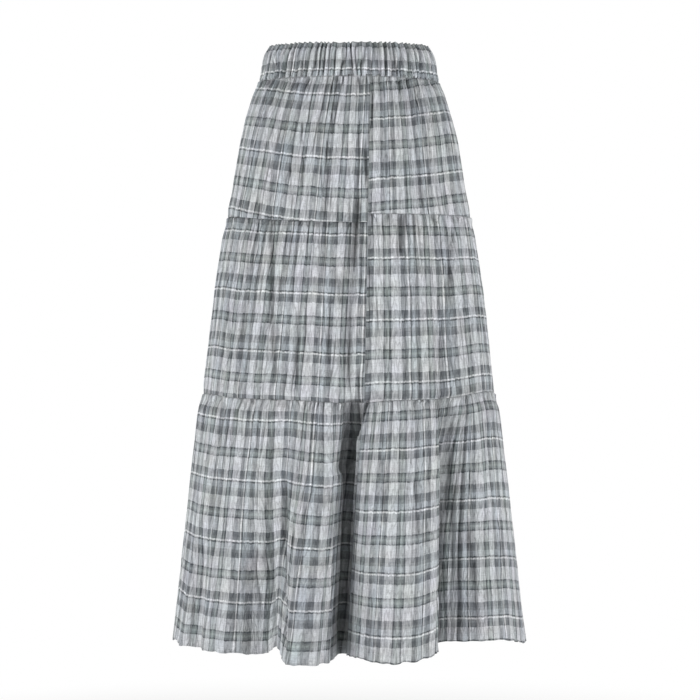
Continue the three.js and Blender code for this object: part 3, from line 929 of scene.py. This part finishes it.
def build_skirt():
    """The seven cloths and the rows of stitches on them."""
    cotton = crinkled_cotton()
    thread = sewing_thread()
    tree, sizes = stitch_nodes(thread)
    outside, across, down, crease = band_surface(BAND)
    band = add_piece(mesh_from_grid("waistband_cloth", outside, across, down, crease, True), cotton)
    thicken(band, BAND_THICK)
    line = line_up_from_bottom(outside, BAND["height"], CASING_STITCHES_UP)[:-1]
    casing = add_stitches("casing_stitches", line, True, tree, sizes, thread)
    finish_piece(band, "waistband")
    for panel in PANELS:
        outside, across, down, crease = panel_surface(panel)
        mesh = mesh_from_grid(panel["name"] + "_cloth", outside, across, down, crease, False)
        piece = add_piece(mesh, cotton)
        thicken(piece, CLOTH_THICK)
        sewn = []
        if panel["bottom"][0] == HEM:
            line = line_up_from_bottom(outside, panel["height"], HEM_STITCHES_UP)
            name = panel["name"].replace("tier_lower", "hem_stitches")
            sewn = [add_stitches(name, line, False, tree, sizes, thread)]
        finish_piece(piece, panel["name"])


# The room, light and camera
CAMERA_DISTANCE = 3670 * MM
CAMERA_HEIGHT = -411.7 * MM
FRAME_WIDTH = 700 * 1.45 * MM
FRAME_ASIDE = 1.45 * MM
SENSOR = 36
FAR_CLIP = 100

# The floor: its height, its size, its colour and between which distances it melts away
FLOOR = -1020 * MM
FLOOR_RADIUS = 30
FLOOR_CORNERS = 96
FLOOR_COLOUR = "#f4f4f3"
MELTS_FROM = 0.35
MELTS_TO = 1.1

# The lamps: where each stands, its power in watts and the size of all, and how bright the world lights
# the skirt and looks behind it
LAMPS = [("key", (-3.0, -1.8, -0.5), 65), ("fill", (2.6, -2.3, -0.42), 56), ("back", (0.7, 2.4, 1.5), 54)]
LAMP_SIZE = 1.2
WORLD_LIGHT = 0.39
WORLD_SEEN = 1.0


def build_floor():
    """A plain pale floor, far enough below the hem for a wearer's feet, that melts into the background."""
    material = bpy.data.materials.new("pale_studio_floor")
    material.use_nodes = True
    tree = material.node_tree
    place = node(tree, "ShaderNodeTexCoord").outputs["Object"]
    far = node(tree, "ShaderNodeVectorMath", {0: place}, operation="LENGTH").outputs["Value"]
    blend = node(tree, "ShaderNodeMapRange", {
        "Value": far, "From Min": MELTS_FROM, "From Max": MELTS_TO},
        interpolation_type="SMOOTHSTEP").outputs[0]
    diffuse = node(tree, "ShaderNodeBsdfDiffuse", {"Color": linear(FLOOR_COLOUR)})
    glow = node(tree, "ShaderNodeEmission", {"Color": (1, 1, 1, 1), "Strength": 1.0})
    mixed = node(tree, "ShaderNodeMixShader", {0: blend, 1: diffuse.outputs[0], 2: glow.outputs[0]})
    tree.links.new(mixed.outputs[0], tree.nodes["Material Output"].inputs["Surface"])
    bpy.ops.mesh.primitive_circle_add(
        vertices=FLOOR_CORNERS, radius=FLOOR_RADIUS, fill_type="NGON", location=(0, 0, FLOOR))
    floor = bpy.context.object
    floor.name = "studio_floor"
    floor.data.materials.append(material)


def add_light(name, place, power):
    """A soft square lamp that faces the middle of the skirt."""
    data = bpy.data.lights.new(name, "AREA")
    data.shape = "SQUARE"
    data.size = LAMP_SIZE
    data.energy = power
    lamp = bpy.data.objects.new(name, data)
    bpy.context.scene.collection.objects.link(lamp)
    lamp.location = place
    towards = np.array([0, 0, CAMERA_HEIGHT]) - np.array(place)
    lamp.rotation_mode = "QUATERNION"
    lamp.rotation_quaternion = Vector(towards).to_track_quat("-Z", "Y")


def build_light():
    """A white background, dim soft light from all round, two large lamps in front and one behind."""
    world = bpy.data.worlds.new("white_studio")
    bpy.context.scene.world = world
    world.use_nodes = True
    tree = world.node_tree
    seen = node(tree, "ShaderNodeLightPath").outputs["Is Camera Ray"]
    strength = node(tree, "ShaderNodeMapRange", {
        "Value": seen, "To Min": WORLD_LIGHT, "To Max": WORLD_SEEN}).outputs[0]
    tree.links.new(strength, tree.nodes["Background"].inputs["Strength"])
    tree.nodes["Background"].inputs["Color"].default_value = (1, 1, 1, 1)
    for name, place, power in LAMPS:
        add_light(name, place, power)


def build_camera():
    """A camera level with the middle of the skirt, as in the reference view."""
    data = bpy.data.cameras.new("camera")
    data.sensor_width = SENSOR
    data.lens = SENSOR * CAMERA_DISTANCE / FRAME_WIDTH
    data.clip_end = FAR_CLIP
    camera = bpy.data.objects.new("camera", data)
    bpy.context.scene.collection.objects.link(camera)
    camera.location = (FRAME_ASIDE, -CAMERA_DISTANCE, CAMERA_HEIGHT)
    camera.rotation_euler = (math.pi / 2, 0, 0)
    bpy.context.scene.camera = camera


build_camera()
build_floor()
build_light()
build_skirt()
bpy.context.scene.view_settings.view_transform = "Standard"
